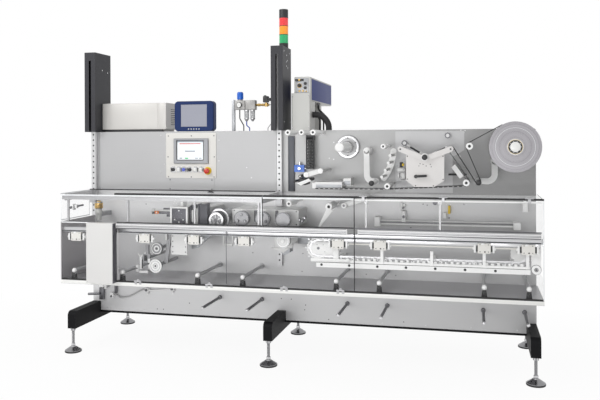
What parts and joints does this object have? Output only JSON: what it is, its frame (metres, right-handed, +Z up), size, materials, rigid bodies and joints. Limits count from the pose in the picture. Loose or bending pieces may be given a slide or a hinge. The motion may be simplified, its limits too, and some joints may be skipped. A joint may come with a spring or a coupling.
{
  "type": "flow wrap machine",
  "caption": "Flow wrap machine: a back wall on levelled beams with film unwind, sealing heads and lug chain behind a clear lifting and hinged guard.",
  "frame": {"origin": "on the floor, under the middle of the machine's bounding box", "axes": "+X along the wall towards the infeed end, +Y to the rear, +Z up"},
  "size_m": [3.202, 1.31, 2.4],
  "materials": {
    "frame_black": "satin black powder coat",
    "rubber_black": "matte",
    "bright_steel": "polished",
    "wall_steel": "fine brushed stainless",
    "cabinet_steel": "brushed stainless",
    "anthracite": "satin",
    "cream_paint": "satin",
    "panel_grey": "satin",
    "button_black": "satin",
    "box_white": "satin",
    "navy_plastic": "gloss",
    "lens_green": "ribbed lens",
    "lens_amber": "ribbed lens",
    "lens_red": "ribbed lens",
    "laser_grey": "satin",
    "hose_black": "satin",
    "valve_blue": "satin",
    "chain_plastic": "matte",
    "film_grey": "wound film",
    "core_card": "cardboard",
    "roller_white": "white coated",
    "cast_light": "light grey",
    "machined_alu": "machined",
    "clear_guard": "clear polycarbonate",
    "seal_black": "matte",
    "bright_rail": "anodised"
  },
  "bodies": {
    "machine": {"base_frame": "frame_black", "levelling_foot_pads": "rubber_black", "levelling_feet": "bright_steel", "lower_wall_plate": "wall_steel", "cabinet_front_panel": "wall_steel", "film_wall_plate": "wall_steel", "rear_cabinet": "cabinet_steel", "rear_cover_panels": "cabinet_steel", "guide_rails": "bright_steel", "lift_columns": "anthracite", "operator_plate": "cream_paint", "touch_panel": "panel_grey", "operator_buttons": "button_black", "coder_controller_box": "box_white", "coder_display": "navy_plastic", "air_preparation_unit": "machined_alu", "signal_tower_body": "button_black", "signal_lens_green": "lens_green", "signal_lens_amber": "lens_amber", "signal_lens_red": "lens_red", "laser_marker": "laser_grey", "laser_supports": "laser_grey", "hoses_and_cables": "hose_black", "cable_guides": "chain_plastic", "blue_air_valve": "valve_blue", "unwind_hubs": "cast_light", "idler_rollers": "roller_white", "splice_back_plate": "wall_steel", "splice_unit": "cast_light", "dancer_arms": "cast_light", "register_sensor": "cast_light", "film_guides": "cast_light", "film_web": "film_grey", "left_side_sheet": "wall_steel", "guard_tray": "wall_steel", "guard_seals": "seal_black", "tray_supports": "machined_alu", "lower_wall_rods": "machined_alu", "front_cross_rail": "machined_alu", "clamp_blocks": "cream_paint", "fixed_guard_panes": "clear_guard", "front_cover_box": "box_white", "fixed_hinge_knuckles": "bright_steel", "lug_chain": "machined_alu", "chain_wheels": "cast_light", "infeed_rails": "cast_light", "sealing_head_housing": "cast_light", "rotary_heads": "machined_alu", "press_units": "cast_light", "discharge_unit": "machined_alu", "chain_drive_motor": "cast_light"},
    "hood": {"hood_frame": "bright_rail", "hood_pane": "clear_guard"},
    "fold_door": {"fold_door_panes": "clear_guard", "fold_door_hardware": "bright_rail"},
    "lift_door": {"lift_door_pane": "clear_guard", "lift_door_hardware": "bright_rail"},
    "film_reel": {"film_roll": "film_grey", "film_core": "core_card", "unwind_mandrel": "machined_alu"}
  },
  "joints": [
    {"name": "hood_lift", "type": "slide", "parent": "machine", "child": "hood", "axis": [0, 0, 1], "range_m": [0, 0.9]},
    {"name": "fold_door_hinge", "type": "hinge", "parent": "machine", "child": "fold_door", "pos_m": [-0.337, -0.606, 0.543], "axis": [1, 0, 0], "range_deg": [0, 95]},
    {"name": "lift_door_hinge", "type": "hinge", "parent": "machine", "child": "lift_door", "pos_m": [1.022, -0.606, 1.126], "axis": [-1, 0, 0], "range_deg": [0, 95]},
    {"name": "film_reel_spin", "type": "hinge", "parent": "machine", "child": "film_reel", "pos_m": [1.431, -0.38, 1.424], "axis": [0, 1, 0], "continuous": true}
  ]
}
